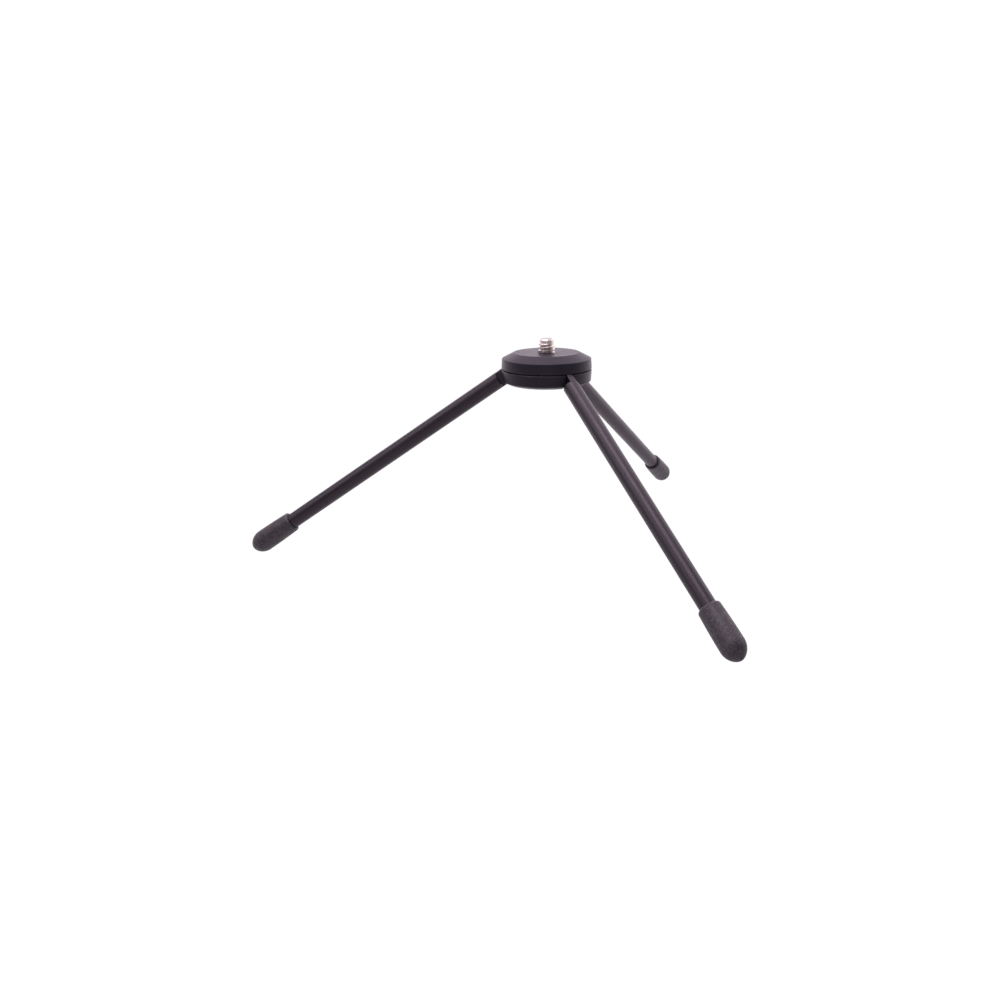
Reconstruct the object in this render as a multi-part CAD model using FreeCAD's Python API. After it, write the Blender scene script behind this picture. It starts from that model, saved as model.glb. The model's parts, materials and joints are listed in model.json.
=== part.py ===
"""Folding desktop tripod for a webcam or small camera.

Two black discs, a cap and a base, are clamped together on a central 1/4-20 screw whose end stands
out of the cap as the camera stud. Three round legs are each milled down to a flat tongue at the
top. A tongue turns on a pin that lies crosswise in half-round grooves between the two discs, in a
slot that is open through the base and its rim. A leg swings from hanging straight down, folded,
up to its open stop, where the top of the tongue meets the sloped end of a pocket in the cap.
A rubber foot is pushed over the lower end of each leg.

Frame: millimetres, +Z up, origin on the stud's axis in the cap's top face. Leg 1 points to -Y and
legs 2 and 3 follow anticlockwise from above. The legs are drawn open, as the tripod stands.
"""
import FreeCAD
import Part

import math
import os

V = FreeCAD.Vector
UP = V(0, 0, 1)
ORIGIN = V(0, 0, 0)

# Hub discs
hub_r = 17.0
platform_r = 12.4
bevel_h = 2.25
cap_t = 6.1
base_t = 5.7
base_bevel_h = 1.1
base_face_r = 14.3
seam_h = 0.35
seam_depth = 1.1
edge_break = 0.25
cap_draft = 0.2
base_draft = 0.3
platform_edge_r = 0.7
rim_edge_r = 0.35
base_edge_r = 0.7

# Camera stud, 1/4-20 UNC: one screw from the underside of the base through both discs
stud_r = 3.175
stud_h = 5.2
stud_thread_h = 3.4
lead_r = 2.7
lead_break = 0.5
thread_pitch_r = 2.76
thread_clearance = 0.02
thread_runout = 0.3
screw_pass_r = 3.4
head_r = 6.1
head_edge = 0.35
head_sunk = 0.3
hex_across = 3.97
hex_depth = 2.3
mouth_r = 3.45

# Legs
leg_count = 3
leg_r = 3.05
leg_end_r = 2.9
leg_drop_deg = 34.4
leg_top_clear = 0.03
tongue_t = 2.3
shoulder_out = 1.1
shoulder_break = 0.22
leg_reach = 117.1
rod_end_break = 0.5

# Pivots
pin_r = 1.0
pin_l = 8.4
pin_break = 0.2
pin_fit = 0.03
groove_fit = 0.02
washer_r = 2.6
washer_t = 0.5
washer_gap = 0.02
slot_w = 3.4
slot_back_clear = 0.3
pocket_clear = 0.1

# Rubber feet
foot_l = 18.6
foot_r = 4.15
foot_mouth_r = 3.85
foot_lip = 0.7
foot_side_arc_r = 5.5
foot_nose_r = 2.75
foot_tip_t = 4.2
foot_bore_fit = 0.02
foot_mouth_break = 0.3

# Small countersunk screws that clamp the discs, M2.5
clamp_ring_r = 10.1
clamp_r = 1.25
clamp_fit = 0.1
clamp_core_r = 1.03
clamp_core_fit = 0.02
clamp_head_r = 2.3
clamp_edge = 0.2
clamp_sunk = 0.2
clamp_depth = 3.4
clamp_hole_spare = 0.4
clamp_cross_w = 0.7
clamp_cross_l = 2.4
clamp_cross_depth = 0.9

# Worked out from the above
seam_z = -cap_t
base_z = seam_z - base_t
drop = math.radians(leg_drop_deg)
leg_top_at_rim = leg_r / math.cos(drop) + leg_top_clear
pivot_r = hub_r - leg_top_at_rim / math.tan(drop)
shoulder_s = (hub_r - pivot_r) / math.cos(drop) + shoulder_out
tip_s = (hub_r - pivot_r) / math.cos(drop) + leg_reach
rod_end_s = tip_s - foot_tip_t
leg_step_deg = 360.0 / leg_count
leg_angles = [-90.0 + leg_step_deg * i for i in range(leg_count)]
clamp_angles = [a + leg_step_deg / 2 for a in leg_angles]
cut_margin = 1.0


def line(a, b):
    return Part.LineSegment(V(*a), V(*b)).toShape()


def arc(a, middle, b):
    return Part.Arc(V(*a), V(*middle), V(*b)).toShape()


def outline(points):
    """A closed face in the XZ plane from (x, z) corners."""
    corners = [V(x, 0, z) for x, z in points]
    return Part.Face(Part.makePolygon(corners + corners[:1]))


def turned(points):
    """A solid of revolution about Z from (radius, z) corners."""
    return outline(points).revolve(ORIGIN, UP, 360)


def box_between(low, high):
    size = V(*high) - V(*low)
    return Part.makeBox(size.x, size.y, size.z, V(*low))


def rounded(shape, radius, height, fillet_r):
    """The solid with its circular edge of a given radius and height rounded off."""
    picked = []
    for edge in shape.Edges:
        circle = isinstance(edge.Curve, Part.Circle)
        if circle and abs(edge.Curve.Radius - radius) < 1e-4 and abs(edge.BoundBox.ZMax - height) < 1e-4:
            picked.append(edge)
    return shape.makeFillet(fillet_r, picked)


def around(shape, angle):
    """A copy of a shape made on +X, turned about Z to an angle in degrees."""
    copy = shape.copy()
    copy.rotate(ORIGIN, UP, angle)
    return copy


def laid_open(shape):
    """A leg piece made along +X from its pivot at the origin, set on the +X pivot of the hub and open."""
    copy = shape.copy()
    copy.rotate(ORIGIN, V(0, 1, 0), leg_drop_deg)
    copy.translate(V(pivot_r, 0, seam_z))
    return copy


def pivot_cylinder(radius, length):
    """A cylinder along Y, centred on the pivot of the leg on +X."""
    return Part.makeCylinder(radius, length, V(pivot_r, -length / 2, seam_z), V(0, 1, 0))


def pin_groove():
    """The whole of a pin's groove on +X; each disc takes its half."""
    return pivot_cylinder(pin_r + groove_fit, pin_l + 2 * groove_fit)


def cap_pocket():
    """Room in the cap for the tongue on +X: round about the pivot, sloped where the open tongue stops."""
    side = -slot_w / 2
    round_room = pivot_cylinder(leg_r + pocket_clear, slot_w)
    wedge = Part.Face(Part.makePolygon([
        V(pivot_r, side, seam_z),
        V(hub_r, side, seam_z),
        V(pivot_r, side, seam_z + leg_top_at_rim),
        V(pivot_r, side, seam_z),
    ])).extrude(V(0, slot_w, 0))
    inside_cap = box_between((0, -hub_r, seam_z), (2 * hub_r, hub_r, 0))
    return round_room.fuse(wedge).common(inside_cap)


def hub_cap():
    body = turned([
        (0, 0),
        (platform_r, 0),
        (hub_r - cap_draft, -bevel_h),
        (hub_r, seam_z + edge_break),
        (hub_r - edge_break, seam_z),
        (0, seam_z),
    ])
    body = rounded(body, platform_r, 0, platform_edge_r)
    body = rounded(body, hub_r - cap_draft, -bevel_h, rim_edge_r)
    tapped_r = thread_pitch_r + thread_clearance
    body = body.cut(Part.makeCylinder(tapped_r, cap_t + 2 * cut_margin, V(0, 0, seam_z - cut_margin)))
    body = body.cut(turned([
        (0, cut_margin),
        (mouth_r + cut_margin, cut_margin),
        (tapped_r, tapped_r - mouth_r),
        (0, tapped_r - mouth_r),
    ]))
    clamp_hole = Part.makeCylinder(
        clamp_core_r + clamp_core_fit,
        clamp_depth + clamp_hole_spare,
        V(clamp_ring_r, 0, seam_z),
    )
    for angle in leg_angles:
        body = body.cut(around(cap_pocket(), angle))
        body = body.cut(around(pin_groove(), angle))
    for angle in clamp_angles:
        body = body.cut(around(clamp_hole, angle))
    return body


def leg_slot():
    """The slot in the base for the tongue on +X, open below and at the rim."""
    back = pivot_r - leg_r - slot_back_clear
    return box_between(
        (back, -slot_w / 2, base_z - cut_margin),
        (hub_r + cut_margin, slot_w / 2, seam_z + cut_margin),
    )


def countersink(radius, depth, fit):
    """A 90 degree countersink on the base's underside, with its screw head's edge band."""
    return turned([
        (0, base_z - cut_margin),
        (radius + fit, base_z - cut_margin),
        (radius + fit, base_z + depth),
        (0, base_z + depth + radius + fit),
    ])


def hub_base():
    body = turned([
        (0, seam_z),
        (hub_r - seam_depth, seam_z),
        (hub_r - seam_depth, seam_z - seam_h),
        (hub_r - edge_break, seam_z - seam_h),
        (hub_r, seam_z - seam_h - edge_break),
        (hub_r - base_draft, base_z + base_bevel_h),
        (base_face_r, base_z),
        (0, base_z),
    ])
    body = rounded(body, hub_r - base_draft, base_z + base_bevel_h, base_edge_r)
    body = rounded(body, base_face_r, base_z, base_edge_r)
    body = body.cut(Part.makeCylinder(screw_pass_r, base_t + 2 * cut_margin, V(0, 0, base_z - cut_margin)))
    body = body.cut(countersink(head_r, head_sunk + head_edge, thread_clearance))
    clamp_pass = Part.makeCylinder(
        clamp_r + clamp_fit,
        base_t + 2 * cut_margin,
        V(0, 0, base_z - cut_margin),
    )
    clamp_sink = countersink(clamp_head_r, clamp_sunk + clamp_edge, thread_clearance)
    for angle in leg_angles:
        body = body.cut(around(leg_slot(), angle))
        body = body.cut(around(pin_groove(), angle))
    for angle in clamp_angles:
        for hole in (clamp_pass, clamp_sink):
            moved = hole.copy()
            moved.translate(V(clamp_ring_r, 0, 0))
            body = body.cut(around(moved, angle))
    return body


def hexagon_prism(across, depth, z):
    corner_r = across / math.sqrt(3)
    first = V(corner_r, 0, z)
    corners = []
    for i in range(7):
        turn = FreeCAD.Rotation(UP, 60 * (i % 6))
        corners.append(turn.multVec(first))
    return Part.Face(Part.makePolygon(corners)).extrude(V(0, 0, depth))


def mount_screw():
    """Countersunk socket screw. Its thread is drawn plain: at full size where it is free, and at the
    pitch radius where it is engaged in the cap."""
    bottom = base_z + head_sunk
    cone_top = bottom + head_edge + head_r - stud_r
    screw = turned([
        (0, bottom),
        (head_r, bottom),
        (head_r, bottom + head_edge),
        (stud_r, cone_top),
        (stud_r, seam_z - thread_runout),
        (thread_pitch_r, seam_z),
        (thread_pitch_r, thread_pitch_r - stud_r),
        (stud_r, 0),
        (stud_r, stud_thread_h),
        (lead_r, stud_thread_h + stud_r - lead_r),
        (lead_r, stud_h - lead_break),
        (lead_r - lead_break, stud_h),
        (0, stud_h),
    ])
    return screw.cut(hexagon_prism(hex_across, hex_depth + cut_margin, bottom - cut_margin))


def clamp_screw():
    """One small countersunk cross-recess screw at the hub's centre line, drawn plain."""
    bottom = base_z + clamp_sunk
    screw = turned([
        (0, bottom),
        (clamp_head_r, bottom),
        (clamp_head_r, bottom + clamp_edge),
        (clamp_r, bottom + clamp_edge + clamp_head_r - clamp_r),
        (clamp_r, seam_z - thread_runout),
        (clamp_core_r, seam_z),
        (clamp_core_r, seam_z + clamp_depth - thread_runout),
        (clamp_core_r - thread_runout, seam_z + clamp_depth),
        (0, seam_z + clamp_depth),
    ])
    half_l = clamp_cross_l / 2
    half_w = clamp_cross_w / 2
    low = bottom - cut_margin
    high = bottom + clamp_cross_depth
    screw = screw.cut(box_between((-half_l, -half_w, low), (half_l, half_w, high)))
    return screw.cut(box_between((-half_w, -half_l, low), (half_w, half_l, high)))


def pivot_pin():
    """The pin on +X, with a small chamfer at both ends."""
    half = pin_l / 2
    rod = turned([
        (0, -half),
        (pin_r - pin_break, -half),
        (pin_r, -half + pin_break),
        (pin_r, half - pin_break),
        (pin_r - pin_break, half),
        (0, half),
    ])
    rod.rotate(ORIGIN, V(1, 0, 0), 90)
    rod.translate(V(pivot_r, 0, seam_z))
    return rod


def friction_washer(side):
    """A thin washer on the pin between the tongue and one wall of the slot."""
    inner_face = tongue_t / 2 + washer_gap
    start = inner_face if side > 0 else -inner_face - washer_t
    place = V(pivot_r, start, seam_z)
    ring = Part.makeCylinder(washer_r, washer_t, place, V(0, 1, 0))
    return ring.cut(Part.makeCylinder(pin_r + pin_fit, washer_t, place, V(0, 1, 0)))


def leg_rod():
    """The leg along +X with its pivot at the origin: a slightly tapered round rod whose upper end is a
    flat tongue. It is straight inside its foot."""
    tongue_l = shoulder_s + 2 * shoulder_break
    tongue = Part.makeCylinder(leg_r, tongue_l, ORIGIN, V(1, 0, 0))
    tongue = tongue.common(box_between((0, -tongue_t / 2, -leg_r), (tongue_l, tongue_t / 2, leg_r)))
    eye = Part.makeCylinder(leg_r, tongue_t, V(0, -tongue_t / 2, 0), V(0, 1, 0))
    crown = Part.makeSphere(leg_r)
    tongue = tongue.fuse(eye.common(crown).common(box_between((-leg_r, -leg_r, -leg_r), (0, leg_r, leg_r))))
    rod = turned([
        (0, shoulder_s),
        (leg_r - shoulder_break, shoulder_s),
        (leg_r, shoulder_s + shoulder_break),
        (leg_end_r, tip_s - foot_l),
        (leg_end_r, rod_end_s - rod_end_break),
        (leg_end_r - rod_end_break, rod_end_s),
        (0, rod_end_s),
    ])
    rod.rotate(ORIGIN, V(0, 1, 0), 90)
    leg = tongue.fuse(rod)
    hole = Part.makeCylinder(pin_r + pin_fit, 2 * leg_r, V(0, -leg_r, 0), V(0, 1, 0))
    return leg.cut(hole).removeSplitter()


def rubber_foot():
    """A blind rubber cap along +X over the rod's end: a rounded lip, a slightly barrelled side and a
    bullet-shaped nose."""
    start = tip_s - foot_l
    bore = leg_end_r + foot_bore_fit
    mouth = bore + foot_mouth_break / 2
    # The nose arc is centred on the axis, and the side arc beyond it; they meet on the line of centres.
    side_arc_x = foot_r - foot_side_arc_r
    centres_rise = math.sqrt((foot_side_arc_r - foot_nose_r) ** 2 - side_arc_x ** 2)
    nose_z = tip_s - foot_nose_r
    belly_z = nose_z - centres_rise
    lean = math.atan2(centres_rise, -side_arc_x)
    join = (foot_nose_r * math.cos(lean), 0, nose_z + foot_nose_r * math.sin(lean))
    side_mid = (
        side_arc_x + foot_side_arc_r * math.cos(lean / 2),
        0,
        belly_z + foot_side_arc_r * math.sin(lean / 2),
    )
    nose_half = (lean + math.pi / 2) / 2
    nose_mid = (foot_nose_r * math.cos(nose_half), 0, nose_z + foot_nose_r * math.sin(nose_half))
    # The barrel is a flat arc from the lip to the belly, where it runs along the axis.
    barrel_l = belly_z - start - foot_lip
    swell = foot_r - foot_mouth_r
    barrel_mid = (foot_r - swell / 4, 0, belly_z - barrel_l / 2)
    lip_mid = foot_lip * (1 - math.sqrt(0.5))
    edges = [
        line((0, 0, rod_end_s), (bore, 0, rod_end_s)),
        line((bore, 0, rod_end_s), (bore, 0, start + foot_mouth_break)),
        line((bore, 0, start + foot_mouth_break), (mouth, 0, start)),
        line((mouth, 0, start), (foot_mouth_r - foot_lip, 0, start)),
        arc(
            (foot_mouth_r - foot_lip, 0, start),
            (foot_mouth_r - lip_mid, 0, start + lip_mid),
            (foot_mouth_r, 0, start + foot_lip),
        ),
        arc((foot_mouth_r, 0, start + foot_lip), barrel_mid, (foot_r, 0, belly_z)),
        arc((foot_r, 0, belly_z), side_mid, join),
        arc(join, nose_mid, (0, 0, tip_s)),
        line((0, 0, tip_s), (0, 0, rod_end_s)),
    ]
    foot = Part.Face(Part.Wire(edges)).revolve(ORIGIN, UP, 360)
    foot.rotate(ORIGIN, V(0, 1, 0), 90)
    return foot


def build():
    """Every sub-part by its node name."""
    nodes = {
        "hub_cap": hub_cap(),
        "hub_base": hub_base(),
        "mount_screw": mount_screw(),
    }
    clamp = clamp_screw()
    clamp.translate(V(clamp_ring_r, 0, 0))
    for number, angle in enumerate(clamp_angles, 1):
        nodes[f"clamp_screw_{number}"] = around(clamp, angle)
    for number, angle in enumerate(leg_angles, 1):
        nodes[f"pivot_pin_{number}"] = around(pivot_pin(), angle)
        nodes[f"friction_washer_{number}a"] = around(friction_washer(1), angle)
        nodes[f"friction_washer_{number}b"] = around(friction_washer(-1), angle)
        nodes[f"leg_rod_{number}"] = around(laid_open(leg_rod()), angle)
        nodes[f"rubber_foot_{number}"] = around(laid_open(rubber_foot()), angle)
    return nodes


def main():
    os.makedirs("parts", exist_ok=True)
    for name, shape in build().items():
        shape.exportStep(os.path.join("parts", name + ".step"))
        box = shape.BoundBox
        print(
            f"{name}: solids {len(shape.Solids)}, valid {shape.isValid()}, volume {shape.Volume:.1f} mm3, "
            f"z {box.ZMin:.2f} to {box.ZMax:.2f}"
        )
    print(f"pivot radius {pivot_r:.3f}, pivot z {seam_z:.3f}, shoulder {shoulder_s:.3f}, tip {tip_s:.3f}")


main()
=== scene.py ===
import json
import math

import bmesh
import bpy
from mathutils import Matrix, Vector


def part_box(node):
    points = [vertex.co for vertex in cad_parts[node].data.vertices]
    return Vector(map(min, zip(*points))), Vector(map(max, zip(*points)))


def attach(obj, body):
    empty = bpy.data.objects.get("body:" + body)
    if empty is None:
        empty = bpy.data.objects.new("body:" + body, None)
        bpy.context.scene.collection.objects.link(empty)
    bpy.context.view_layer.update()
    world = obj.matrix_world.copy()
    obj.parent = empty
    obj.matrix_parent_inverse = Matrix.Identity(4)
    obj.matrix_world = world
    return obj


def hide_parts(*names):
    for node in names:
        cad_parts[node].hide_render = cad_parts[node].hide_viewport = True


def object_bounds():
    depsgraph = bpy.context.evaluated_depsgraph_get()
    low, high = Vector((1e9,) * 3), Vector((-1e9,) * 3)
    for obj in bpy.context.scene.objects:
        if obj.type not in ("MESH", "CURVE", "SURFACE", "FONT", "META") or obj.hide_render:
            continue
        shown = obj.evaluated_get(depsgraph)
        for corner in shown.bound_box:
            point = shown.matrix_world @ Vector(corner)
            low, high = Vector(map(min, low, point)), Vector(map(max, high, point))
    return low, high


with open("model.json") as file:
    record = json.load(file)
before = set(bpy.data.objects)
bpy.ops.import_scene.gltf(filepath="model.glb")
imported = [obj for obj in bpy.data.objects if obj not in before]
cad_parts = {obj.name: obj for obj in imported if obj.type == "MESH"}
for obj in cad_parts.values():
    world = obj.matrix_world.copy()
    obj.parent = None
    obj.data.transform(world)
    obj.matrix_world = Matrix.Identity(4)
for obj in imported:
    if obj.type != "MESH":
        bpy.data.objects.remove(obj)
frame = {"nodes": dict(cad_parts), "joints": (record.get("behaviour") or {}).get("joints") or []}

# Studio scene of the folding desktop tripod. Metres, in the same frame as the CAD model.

CAD_LOW, CAD_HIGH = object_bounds()
MM = 0.001
NODES = frame["nodes"]
LEGS = (1, 2, 3)


# ---------------------------------------------------------------- camera

# The camera's place is given in hub radii, in a frame turned about Z so that it looks along +Y.
CAMERA_TURN = -0.5129
CAMERA_BACK = 20.62
CAMERA_UP = 2.976
CAMERA_YAW = 0.0358
CAMERA_PITCH = 0.1808
CAMERA_FOCAL = 0.9412
CAMERA_SHIFT = (-0.080, -0.1128)
SENSOR_WIDTH = 36.0


def studio(x, y, z):
    """A point given as right, away from the camera and up, in metres, as a point in the CAD frame."""
    return Matrix.Rotation(CAMERA_TURN, 3, "Z") @ Vector((x, y, z))


def make_camera():
    low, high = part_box("hub_cap")
    radius = (high.x - low.x) / 2
    data = bpy.data.cameras.new("camera")
    camera = bpy.data.objects.new("camera", data)
    bpy.context.scene.collection.objects.link(camera)
    data.sensor_width = SENSOR_WIDTH
    data.lens = SENSOR_WIDTH * CAMERA_FOCAL
    data.shift_x, data.shift_y = CAMERA_SHIFT
    data.clip_start = 0.01
    data.clip_end = 50.0
    data.dof.use_dof = False
    camera.location = studio(0, -CAMERA_BACK * radius, CAMERA_UP * radius)
    forward = studio(
        math.sin(CAMERA_YAW) * math.cos(CAMERA_PITCH),
        math.cos(CAMERA_YAW) * math.cos(CAMERA_PITCH),
        -math.sin(CAMERA_PITCH),
    )
    camera.rotation_mode = "QUATERNION"
    camera.rotation_quaternion = forward.to_track_quat("-Z", "Y")
    bpy.context.scene.camera = camera


# ---------------------------------------------------------------- shader node helpers

# How far an edge is felt for, and how well the rounded normal agrees with the true one off and on an edge.
EDGE_RADIUS = 0.22 * MM
EDGE_SAMPLES = 4
EDGE_OPEN = 0.995
EDGE_SHARP = 0.90


def new_material(name):
    material = bpy.data.materials.new(name)
    material.use_nodes = True
    tree = material.node_tree
    tree.nodes.clear()
    output = tree.nodes.new("ShaderNodeOutputMaterial")
    shader = tree.nodes.new("ShaderNodeBsdfPrincipled")
    tree.links.new(shader.outputs["BSDF"], output.inputs["Surface"])
    return material, tree, shader


def object_coordinates(tree, scale=(1, 1, 1), rotation=(0, 0, 0)):
    """Object coordinates turned into a piece's own axes, then stretched."""
    source = tree.nodes.new("ShaderNodeTexCoord")
    turn = tree.nodes.new("ShaderNodeMapping")
    turn.vector_type = "TEXTURE"
    turn.inputs["Rotation"].default_value = rotation
    tree.links.new(source.outputs["Object"], turn.inputs["Vector"])
    stretch = tree.nodes.new("ShaderNodeMapping")
    stretch.vector_type = "POINT"
    stretch.inputs["Scale"].default_value = scale
    tree.links.new(turn.outputs["Vector"], stretch.inputs["Vector"])
    return stretch.outputs["Vector"]


def noise(tree, vector, scale, detail=3.0, rough=0.55):
    node = tree.nodes.new("ShaderNodeTexNoise")
    node.inputs["Scale"].default_value = scale
    node.inputs["Detail"].default_value = detail
    node.inputs["Roughness"].default_value = rough
    tree.links.new(vector, node.inputs["Vector"])
    return node.outputs["Fac"]


def remap(tree, value, low, high, to_low, to_high):
    node = tree.nodes.new("ShaderNodeMapRange")
    node.inputs["From Min"].default_value = low
    node.inputs["From Max"].default_value = high
    node.inputs["To Min"].default_value = to_low
    node.inputs["To Max"].default_value = to_high
    tree.links.new(value, node.inputs["Value"])
    return node.outputs["Result"]


def spread(tree, value, to_low=0.0, to_high=1.0):
    """Widens the middle of a noise, where nearly all of it lies, to a whole range."""
    return remap(tree, value, 0.3, 0.7, to_low, to_high)


def math_node(tree, operation, first, second):
    node = tree.nodes.new("ShaderNodeMath")
    node.operation = operation
    for index, value in enumerate((first, second)):
        if isinstance(value, (int, float)):
            node.inputs[index].default_value = value
        else:
            tree.links.new(value, node.inputs[index])
    return node.outputs["Value"]


def dot_product(tree, first, second):
    """The dot product of a vector output with another output or a fixed vector."""
    node = tree.nodes.new("ShaderNodeVectorMath")
    node.operation = "DOT_PRODUCT"
    tree.links.new(first, node.inputs[0])
    if isinstance(second, Vector):
        node.inputs[1].default_value = second
    else:
        tree.links.new(second, node.inputs[1])
    return node.outputs["Value"]


def mix_colours(tree, factor, first, second):
    node = tree.nodes.new("ShaderNodeMix")
    node.data_type = "RGBA"
    tree.links.new(factor, node.inputs["Factor"])
    for socket, value in ((node.inputs["A"], first), (node.inputs["B"], second)):
        if isinstance(value, tuple):
            socket.default_value = (*value, 1.0)
        else:
            tree.links.new(value, socket)
    return node.outputs["Result"]


def bump(tree, shader, *layers):
    """Adds height layers of (value, distance in metres) one on another."""
    normal = None
    for height, distance in layers:
        node = tree.nodes.new("ShaderNodeBump")
        node.inputs["Strength"].default_value = 1.0
        node.inputs["Distance"].default_value = distance
        tree.links.new(height, node.inputs["Height"])
        if normal is not None:
            tree.links.new(normal, node.inputs["Normal"])
        normal = node.outputs["Normal"]
    tree.links.new(normal, shader.inputs["Normal"])


def edge_mask(tree):
    """About 1 on sharp edges and 0 on open faces."""
    rounded = tree.nodes.new("ShaderNodeBevel")
    rounded.samples = EDGE_SAMPLES
    rounded.inputs["Radius"].default_value = EDGE_RADIUS
    geometry = tree.nodes.new("ShaderNodeNewGeometry")
    agreement = dot_product(tree, rounded.outputs["Normal"], geometry.outputs["Normal"])
    return remap(tree, agreement, EDGE_OPEN, EDGE_SHARP, 0.0, 1.0)


# ---------------------------------------------------------------- materials

# Noise scales, in cycles per metre.
CLOUD_SCALE = 110.0
PATCH_SCALE = 420.0
HAZE_SCALE = 600.0
WEAR_AND_HIGHLIGHT_SCALE = 700.0
STREAK_SCALE = 900.0
SPECK_SCALE = 1900.0
STEEL_GRAIN_SCALE = 3600.0
GRAIN_SCALE = 5200.0
FLOOR_CLOUD_SCALE = 3.0

# Depths of the bumps.
BLACK_STREAK_DEPTH = 0.006 * MM
BLACK_GRAIN_DEPTH = 0.010 * MM
RUBBER_PATCH_DEPTH = 0.05 * MM
RUBBER_GRAIN_DEPTH = 0.02 * MM
METAL_MARK_DEPTH = 0.008 * MM

# How marks are drawn out: along a rod, and round the screw.
ROD_STRETCH = (0.03, 1, 1)
RING_STRETCH = (1, 1, 14)

# How far wear, together with a painted highlight, lightens an edge towards WORN_AND_HIGHLIGHT_TONE, and how
# much it polishes the edge.
WEAR_AND_HIGHLIGHT_AMOUNT = 0.8
WEAR_POLISH = 0.08

# The nickel is darkened towards NICKEL_END_PAINTED_SHADE between these depths under the end of the screw: a
# painted shade that greys the end, which otherwise reflects the light behind as white.
NICKEL_END_FROM = 0.10 * MM
NICKEL_END_TO = 0.03 * MM

# Linear colours. The black finishes have a dark, a light and a streak tone.
# The others have a dark and a light one.
HUB_TONES = ((0.0150, 0.0140, 0.0215), (0.0200, 0.0186, 0.0270), (0.0250, 0.0230, 0.0310))
LEG_TONES = ((0.0078, 0.0064, 0.0100), (0.0110, 0.0089, 0.0130), (0.0165, 0.0134, 0.0178))
# The pale edge tone is partly real wear and partly a painted highlight along the edges.
WORN_AND_HIGHLIGHT_TONE = (0.150, 0.136, 0.146)
BLACK_GLOSS_TINT = (1.0, 0.90, 0.98, 1.0)
RUBBER_TONES = ((0.0110, 0.0095, 0.0130), (0.0370, 0.0312, 0.0380))
RUBBER_DUST = (0.098, 0.082, 0.096)
RUBBER_SHEEN = (0.90, 0.82, 0.88, 1.0)
NICKEL_TONES = ((0.63, 0.585, 0.535), (0.77, 0.720, 0.660))
# A darker grey painted on the screw's end as painted shade.
NICKEL_END_PAINTED_SHADE = (0.30, 0.28, 0.265)
PIN_TONES = ((0.42, 0.42, 0.42), (0.55, 0.55, 0.55))
WASHER_TONES = ((0.045, 0.045, 0.047), (0.065, 0.065, 0.067))
SMALL_SCREW_TONES = ((0.020, 0.020, 0.022), (0.040, 0.040, 0.042))
FLOOR_TONES = ((0.36, 0.36, 0.36), (0.40, 0.40, 0.40))
FLOOR_GLOW = (1.0, 0.955, 1.0, 1.0)

# How strongly the floor glows in front of and behind the object, and where it starts and ends to change.
FLOOR_FRONT = 0.14
FLOOR_BACK = 1.05
FLOOR_FRONT_Y = -0.10
FLOOR_BACK_Y = 0.45


def black_anodised(name, tones, rough, level, rotation=(0, 0, 0), stretch=(1, 1, 1)):
    """Satin black anodised aluminium: blasted grain, faint cloudiness, and edges lightened partly by wear and
    partly by a painted highlight.
    """
    material, tree, shader = new_material(name)
    whole = object_coordinates(tree)
    drawn = object_coordinates(tree, stretch, rotation)
    cloud = noise(tree, whole, CLOUD_SCALE, detail=4.0)
    grain = noise(tree, whole, GRAIN_SCALE, detail=2.0, rough=0.6)
    streak = noise(tree, drawn, STREAK_SCALE, detail=4.0, rough=0.6)
    wear_and_highlight_patches = remap(tree, noise(tree, whole, WEAR_AND_HIGHLIGHT_SCALE, detail=5.0), 0.40, 0.62, 0.15, 1.0)
    worn_and_highlit_edges = math_node(tree, "MULTIPLY", edge_mask(tree), wear_and_highlight_patches)
    dark, light, streaky = tones
    tone = mix_colours(tree, spread(tree, cloud), dark, light)
    tone = mix_colours(tree, remap(tree, streak, 0.35, 0.75, 0.0, 0.5), tone, streaky)
    # Sharp edges are lightened towards a pale tone: partly real wear, partly a painted highlight.
    tone = mix_colours(tree, math_node(tree, "MULTIPLY", worn_and_highlit_edges, WEAR_AND_HIGHLIGHT_AMOUNT), tone, WORN_AND_HIGHLIGHT_TONE)
    tree.links.new(tone, shader.inputs["Base Color"])
    cloudy = remap(tree, cloud, 0.25, 0.75, rough - 0.04, rough + 0.04)
    roughness = math_node(tree, "ADD", cloudy, spread(tree, streak, -0.04, 0.04))
    polish = math_node(tree, "MULTIPLY", worn_and_highlit_edges, WEAR_POLISH)
    roughness = math_node(tree, "SUBTRACT", roughness, polish)
    tree.links.new(roughness, shader.inputs["Roughness"])
    shader.inputs["Specular IOR Level"].default_value = level
    shader.inputs["Specular Tint"].default_value = BLACK_GLOSS_TINT
    bump(tree, shader, (streak, BLACK_STREAK_DEPTH), (grain, BLACK_GRAIN_DEPTH))
    return material


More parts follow.
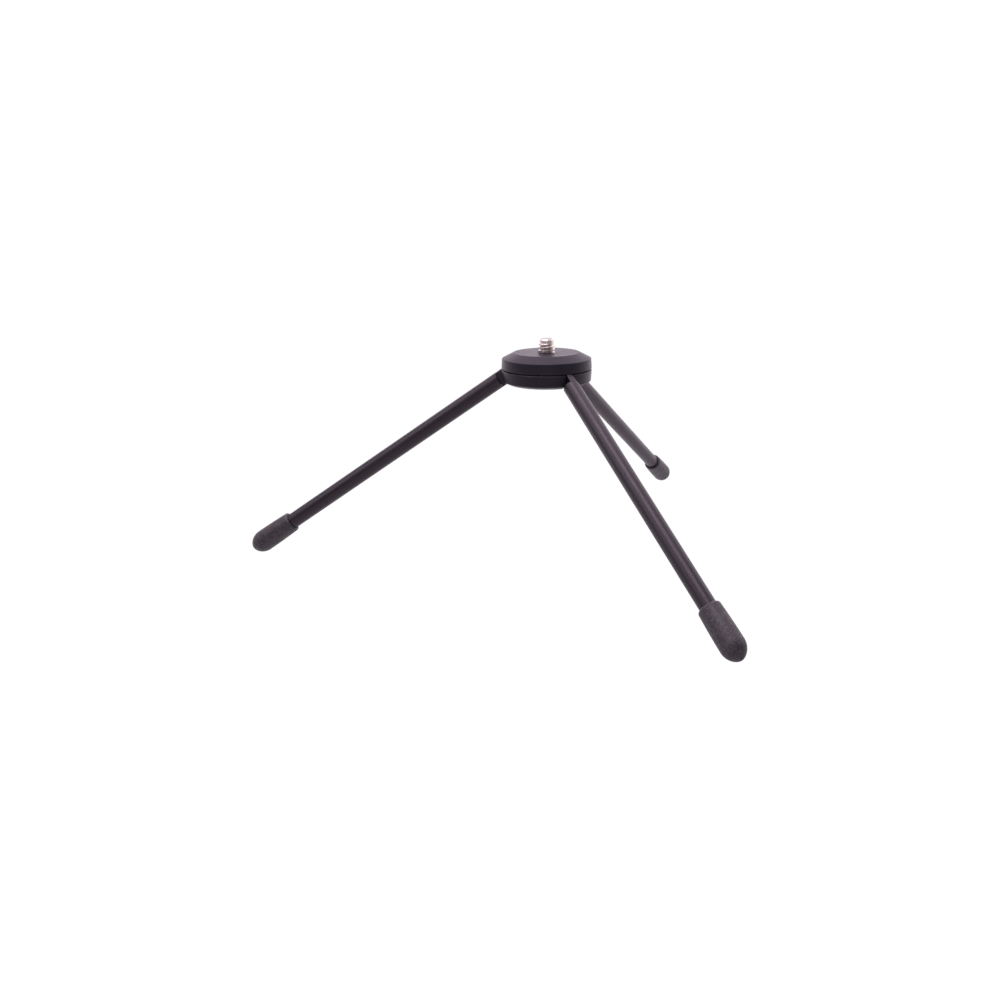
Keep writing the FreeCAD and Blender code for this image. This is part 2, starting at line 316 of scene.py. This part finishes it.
def mottled_rubber(name):
    """Satin moulded rubber with a mottled, grainy, slightly dusty skin."""
    material, tree, shader = new_material(name)
    whole = object_coordinates(tree)
    patch = noise(tree, whole, PATCH_SCALE, detail=4.0, rough=0.65)
    speck = noise(tree, whole, SPECK_SCALE, detail=3.0, rough=0.65)
    grain = noise(tree, whole, GRAIN_SCALE, detail=2.0, rough=0.6)
    tone = mix_colours(tree, remap(tree, patch, 0.34, 0.66, 0.0, 1.0), *RUBBER_TONES)
    tone = mix_colours(tree, remap(tree, speck, 0.46, 0.72, 0.0, 0.9), tone, RUBBER_DUST)
    tree.links.new(tone, shader.inputs["Base Color"])
    roughness = math_node(tree, "ADD", spread(tree, speck, 0.58, 0.46), spread(tree, patch, 0.04, -0.04))
    tree.links.new(roughness, shader.inputs["Roughness"])
    shader.inputs["Specular IOR Level"].default_value = 0.62
    shader.inputs["Sheen Weight"].default_value = 0.05
    shader.inputs["Sheen Roughness"].default_value = 0.5
    shader.inputs["Sheen Tint"].default_value = RUBBER_SHEEN
    bump(
        tree,
        shader,
        (patch, RUBBER_PATCH_DEPTH),
        (speck, RUBBER_PATCH_DEPTH),
        (grain, RUBBER_GRAIN_DEPTH),
    )
    return material


def bright_nickel(name, end_z):
    """Nickel plated steel with fine turning marks, hazy patches, and its end painted a darker grey as painted
    shade.
    """
    material, tree, shader = new_material(name)
    rings = object_coordinates(tree, RING_STRETCH)
    whole = object_coordinates(tree)
    turning = noise(tree, rings, STREAK_SCALE, detail=3.0, rough=0.6)
    haze = noise(tree, whole, PATCH_SCALE, detail=4.0)
    tone = mix_colours(tree, spread(tree, haze), *NICKEL_TONES)
    height = tree.nodes.new("ShaderNodeSeparateXYZ")
    tree.links.new(whole, height.inputs["Vector"])
    # Painted shade: the top of the screw is darkened in colour.
    end = remap(tree, height.outputs["Z"], end_z - NICKEL_END_FROM, end_z - NICKEL_END_TO, 0.0, 1.0)
    tone = mix_colours(tree, end, tone, NICKEL_END_PAINTED_SHADE)
    tree.links.new(tone, shader.inputs["Base Color"])
    shader.inputs["Metallic"].default_value = 1.0
    tree.links.new(spread(tree, turning, 0.27, 0.37), shader.inputs["Roughness"])
    bump(tree, shader, (turning, METAL_MARK_DEPTH))
    return material


def plain_steel(name, tones, rough, metallic):
    """Small hidden hardware: ground or blackened steel."""
    material, tree, shader = new_material(name)
    whole = object_coordinates(tree)
    haze = noise(tree, whole, HAZE_SCALE, detail=4.0)
    grain = noise(tree, whole, STEEL_GRAIN_SCALE, detail=3.0)
    tree.links.new(mix_colours(tree, spread(tree, haze), *tones), shader.inputs["Base Color"])
    tree.links.new(spread(tree, grain, rough - 0.06, rough + 0.08), shader.inputs["Roughness"])
    shader.inputs["Metallic"].default_value = metallic
    bump(tree, shader, (grain, METAL_MARK_DEPTH))
    return material


def pale_floor(name):
    """A pale floor that glows more at the back, so it throws less light on the object from the front."""
    material, tree, shader = new_material(name)
    whole = object_coordinates(tree)
    soft = noise(tree, whole, FLOOR_CLOUD_SCALE, detail=3.0)
    tree.links.new(mix_colours(tree, spread(tree, soft), *FLOOR_TONES), shader.inputs["Base Color"])
    shader.inputs["Roughness"].default_value = 0.8
    shader.inputs["Specular IOR Level"].default_value = 0.0
    shader.inputs["Emission Color"].default_value = FLOOR_GLOW
    away = dot_product(tree, whole, studio(0, 1, 0))
    glow = remap(tree, away, FLOOR_FRONT_Y, FLOOR_BACK_Y, FLOOR_FRONT, FLOOR_BACK)
    tree.links.new(glow, shader.inputs["Emission Strength"])
    return material


def dress(node, material):
    for entry in NODES[node].material_slots:
        entry.link = "OBJECT"
        entry.material = material


def dress_cad_nodes():
    hub_black = black_anodised("hub_black_finish", HUB_TONES, rough=0.40, level=0.24)
    for name in ("hub_cap", "hub_base"):
        dress(name, hub_black)
    joints = {joint["name"]: joint for joint in frame["joints"]}
    rubber = mottled_rubber("foot_rubber_finish")
    pin = plain_steel("pin_finish", PIN_TONES, rough=0.32, metallic=1.0)
    washer = plain_steel("washer_finish", WASHER_TONES, rough=0.55, metallic=0.0)
    screw = plain_steel("small_screw_finish", SMALL_SCREW_TONES, rough=0.38, metallic=0.6)
    for leg in LEGS:
        # The streaks run along the rod, from its pivot to its foot.
        pivot = Vector(joints[f"leg_fold_{leg}"]["pos_m"])
        low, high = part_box(f"rubber_foot_{leg}")
        along = ((low + high) / 2 - pivot).normalized()
        turn = along.to_track_quat("X", "Z").to_euler("XYZ")
        rod = black_anodised(
            f"leg_black_finish_{leg}",
            LEG_TONES,
            rough=0.39,
            level=0.60,
            rotation=turn,
            stretch=ROD_STRETCH,
        )
        dress(f"leg_rod_{leg}", rod)
        dress(f"rubber_foot_{leg}", rubber)
        dress(f"pivot_pin_{leg}", pin)
        dress(f"friction_washer_{leg}a", washer)
        dress(f"friction_washer_{leg}b", washer)
        dress(f"clamp_screw_{leg}", screw)


# ---------------------------------------------------------------- camera screw

# Heights are from the hub's face. The thread is held inside ENGAGED_R in the hub and let out at 45 degrees
# from THREAD_RISE under the face. From THREAD_FADE_Z it fades into the smooth lead over THREAD_FADE.
THREAD_PITCH = 1.27 * MM
THREAD_R = 3.175 * MM
THREAD_ROOT_R = 2.52 * MM
THREAD_TOP = 3.4 * MM
THREAD_START = -1.2 * MM
THREAD_END = THREAD_TOP + 0.2 * MM
THREAD_RISE = 0.41 * MM
THREAD_FADE_Z = THREAD_TOP - 0.45 * MM
THREAD_FADE = 0.55 * MM
CREST_FLAT = 0.09
ROOT_FLAT = 0.08
STEPS_PER_PITCH = 26
LEAD_R = 2.7 * MM
LEAD_BREAK = 0.72 * MM
LEAD_ROUND = 0.32 * MM
LEAD_STEPS = 5
ENGAGED_R = 2.76 * MM
HEAD_R = 6.1 * MM
HEAD_EDGE = 0.35 * MM
HEAD_BREAK = 0.12 * MM
HEX_ACROSS = 3.97 * MM
HEX_DEPTH = 2.3 * MM
HEX_BREAK = 0.15 * MM
ROUND_STEPS = 96
SHARP_ANGLE = math.radians(38)


def eased(value):
    value = min(1.0, max(0.0, value))
    return value * value * (3 - 2 * value)


def thread_radius(z, angle):
    """Radius of a right-hand 60 degree thread at a height and angle."""
    phase = (z / THREAD_PITCH - angle / (2 * math.pi)) % 1.0
    off_crest = min(phase, 1.0 - phase)
    rise = (off_crest - CREST_FLAT) / (0.5 - CREST_FLAT - ROOT_FLAT)
    height = 1.0 - min(1.0, max(0.0, rise))
    return THREAD_ROOT_R + (THREAD_R - THREAD_ROOT_R) * height


def screw_radius(z, angle):
    """The thread above the hub's face, fading into the engaged part below and the plain lead above."""
    cut = thread_radius(z, angle)
    cut += (LEAD_R - cut) * eased((z - THREAD_FADE_Z) / THREAD_FADE)
    return min(cut, ENGAGED_R + max(0.0, z + THREAD_RISE))


def plain(radius):
    """A round outline of one radius."""
    return lambda z, angle: radius


def hexagon(wider):
    """The socket's hexagonal outline, wider by so much all round."""
    def radius(z, angle):
        off_flat = angle % (math.pi / 3) - math.pi / 6
        return HEX_ACROSS / 2 / math.cos(off_flat) + wider
    return radius


def lead_profile(top):
    """Radius and height up the end of the screw: a 45 degree break with both its edges rounded."""
    reach = LEAD_ROUND * math.tan(math.pi / 8)
    outline = []
    for centre_r, centre_z, start in (
        (LEAD_R - LEAD_ROUND, top - LEAD_BREAK - reach, 0.0),
        (LEAD_R - LEAD_BREAK - reach, top - LEAD_ROUND, math.pi / 4),
    ):
        for step in range(LEAD_STEPS + 1):
            turn = start + math.pi / 4 * step / LEAD_STEPS
            outline.append((centre_r + LEAD_ROUND * math.cos(turn), centre_z + LEAD_ROUND * math.sin(turn)))
    return outline


def screw_rows():
    """Rows of (radius at a height and angle, height), from the socket's floor to the end of the lead."""
    low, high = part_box("mount_screw")
    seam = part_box("hub_base")[1].z
    rows = [
        (hexagon(0.0), low.z + HEX_DEPTH),
        (hexagon(0.0), low.z + HEX_BREAK),
        (hexagon(HEX_BREAK), low.z),
        (plain(HEAD_R - HEAD_BREAK), low.z),
        (plain(HEAD_R), low.z + HEAD_BREAK),
        (plain(HEAD_R), low.z + HEAD_EDGE),
        (plain(THREAD_R), low.z + HEAD_EDGE + HEAD_R - THREAD_R),
        (plain(THREAD_R), seam - 0.3 * MM),
        (plain(ENGAGED_R), seam),
        (plain(ENGAGED_R), THREAD_START - 0.1 * MM),
    ]
    steps = int((THREAD_END - THREAD_START) / (THREAD_PITCH / STEPS_PER_PITCH))
    for step in range(steps + 1):
        rows.append((screw_radius, THREAD_START + (THREAD_END - THREAD_START) * step / steps))
    for radius, z in lead_profile(high.z):
        rows.append((plain(radius), z))
    return rows, high.z


def camera_screw():
    """The whole screw as one closed mesh: hexagon socket, head, shank, real thread and smooth lead."""
    rows, end_z = screw_rows()
    mesh = bpy.data.meshes.new("camera_screw")
    bm = bmesh.new()
    rings = []
    for radius_at, z in rows:
        ring = []
        for index in range(ROUND_STEPS):
            angle = 2 * math.pi * index / ROUND_STEPS
            radius = radius_at(z, angle)
            ring.append(bm.verts.new((radius * math.cos(angle), radius * math.sin(angle), z)))
        rings.append(ring)
    for lower, upper in zip(rings, rings[1:]):
        for index in range(ROUND_STEPS):
            after = (index + 1) % ROUND_STEPS
            bm.faces.new((lower[index], lower[after], upper[after], upper[index]))
    bm.faces.new(list(reversed(rings[0])))
    bm.faces.new(rings[-1])
    bmesh.ops.recalc_face_normals(bm, faces=bm.faces)
    bm.to_mesh(mesh)
    bm.free()
    for polygon in mesh.polygons:
        polygon.use_smooth = True
    mesh.set_sharp_from_angle(angle=SHARP_ANGLE)
    piece = bpy.data.objects.new("camera_screw", mesh)
    bpy.context.scene.collection.objects.link(piece)
    mesh.materials.append(bright_nickel("nickel", end_z))
    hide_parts("mount_screw")
    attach(piece, "hub")


# ---------------------------------------------------------------- studio

# The floor lies this far under the open feet, clear of the legs when they fold straight down.
FLOOR_DROP = 0.055
FLOOR_HALF = 30.0

LIGHT_TINT = (1.0, 0.87, 0.985)
LIGHTS_AIM = (0, 0, -0.02)

# Name, place (right, away and up, in metres), width, height and power in watts.
SOFTBOXES = (
    ("overhead", (-0.05, 0.42, 0.90), 1.4, 0.6, 3.4),
    ("key", (-0.17, -0.16, 0.95), 0.74, 0.55, 4.8),
    ("behind", (0.05, 1.60, 0.50), 2.6, 1.6, 10.8),
    ("right", (1.10, 0.45, 0.60), 0.9, 0.8, 2.3),
    ("front_strip", (0.03, -0.90, 0.10), 0.05, 0.50, 0.15),
    ("left", (-0.95, -0.25, 0.75), 0.6, 0.6, 1.9),
)

# The surround's brightness where it is seen, and as a light from the front and from the back. The change runs
# along SURROUND_AXIS (right, away and up), between two cosines.
SURROUND_SEEN = 1.02
SURROUND_FRONT = 0.29
SURROUND_BACK = 0.75
SURROUND_AXIS = (0, 1, 0.25)
SURROUND_AXIS_FRONT = -0.5
SURROUND_AXIS_BACK = 0.95


def make_floor():
    """The pale floor. The camera sees the plain surround through it, so it hides nothing from below."""
    mesh = bpy.data.meshes.new("floor")
    bm = bmesh.new()
    level = CAD_LOW.z - FLOOR_DROP
    corners = []
    for x, y in ((-1, -1), (1, -1), (1, 1), (-1, 1)):
        corners.append(bm.verts.new((x * FLOOR_HALF, y * FLOOR_HALF, level)))
    bm.faces.new(corners)
    bm.to_mesh(mesh)
    bm.free()
    floor = bpy.data.objects.new("floor", mesh)
    bpy.context.scene.collection.objects.link(floor)
    mesh.materials.append(pale_floor("floor_finish"))
    floor.visible_camera = False


def make_lights():
    aim = studio(*LIGHTS_AIM)
    for name, place, width, height, power in SOFTBOXES:
        data = bpy.data.lights.new(name, "AREA")
        data.shape = "RECTANGLE"
        data.size = width
        data.size_y = height
        data.energy = power
        data.color = LIGHT_TINT
        lamp = bpy.data.objects.new(name, data)
        bpy.context.scene.collection.objects.link(lamp)
        lamp.location = studio(*place)
        lamp.rotation_mode = "QUATERNION"
        lamp.rotation_quaternion = (aim - studio(*place)).to_track_quat("-Z", "Y")
        lamp.visible_camera = False


def make_world():
    """A plain pale surround: even where it is seen, and dimmer towards the front as a light."""
    world = bpy.data.worlds.new("surround")
    bpy.context.scene.world = world
    world.use_nodes = True
    tree = world.node_tree
    tree.nodes.clear()
    output = tree.nodes.new("ShaderNodeOutputWorld")
    seen = tree.nodes.new("ShaderNodeBackground")
    seen.inputs["Color"].default_value = (1.0, 1.0, 1.0, 1.0)
    seen.inputs["Strength"].default_value = SURROUND_SEEN
    lit = tree.nodes.new("ShaderNodeBackground")
    lit.inputs["Color"].default_value = (*LIGHT_TINT, 1.0)
    direction = tree.nodes.new("ShaderNodeTexCoord")
    away = dot_product(tree, direction.outputs["Generated"], studio(*SURROUND_AXIS).normalized())
    strength = remap(tree, away, SURROUND_AXIS_FRONT, SURROUND_AXIS_BACK, SURROUND_FRONT, SURROUND_BACK)
    tree.links.new(strength, lit.inputs["Strength"])
    path = tree.nodes.new("ShaderNodeLightPath")
    choose = tree.nodes.new("ShaderNodeMixShader")
    tree.links.new(path.outputs["Is Camera Ray"], choose.inputs["Fac"])
    tree.links.new(lit.outputs["Background"], choose.inputs[1])
    tree.links.new(seen.outputs["Background"], choose.inputs[2])
    tree.links.new(choose.outputs["Shader"], output.inputs["Surface"])


scene = bpy.context.scene
scene.view_settings.view_transform = "Standard"
scene.view_settings.look = "None"
make_camera()
dress_cad_nodes()
camera_screw()
make_floor()
make_lights()
make_world()
